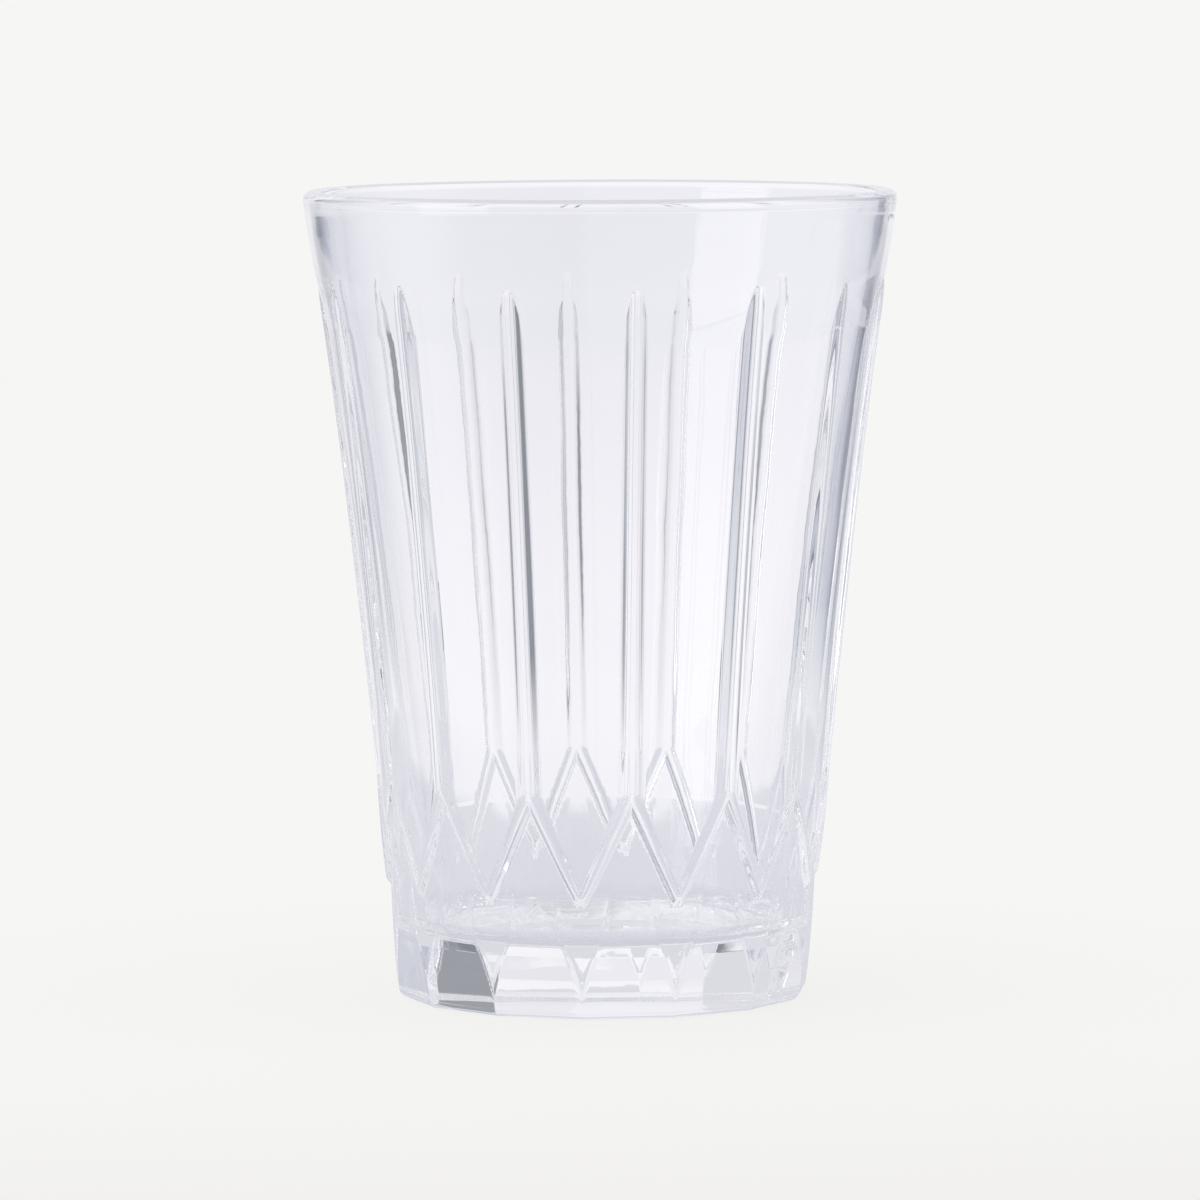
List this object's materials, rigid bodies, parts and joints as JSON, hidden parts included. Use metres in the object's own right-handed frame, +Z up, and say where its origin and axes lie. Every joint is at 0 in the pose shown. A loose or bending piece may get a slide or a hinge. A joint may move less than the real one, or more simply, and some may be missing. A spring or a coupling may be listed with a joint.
{
  "type": "juice glass",
  "caption": "Clear pressed-glass juice tumbler with raised upright ribs that fork into a ring of Vs above a heavy faceted foot.",
  "frame": {"origin": "centre of the circle that the foot stands on, at the table's height", "axes": "+Z up the glass's axis to the open rim; one rib faces -Y and another +Y; a panel between two ribs faces +X and another -X"},
  "size_m": [0.076, 0.076, 0.1035],
  "materials": {
    "glass": "clear, smooth and shiny pressed soda-lime glass with softly rounded edges"
  },
  "bodies": {
    "root": {"tumbler": "glass"}
  },
  "joints": []
}
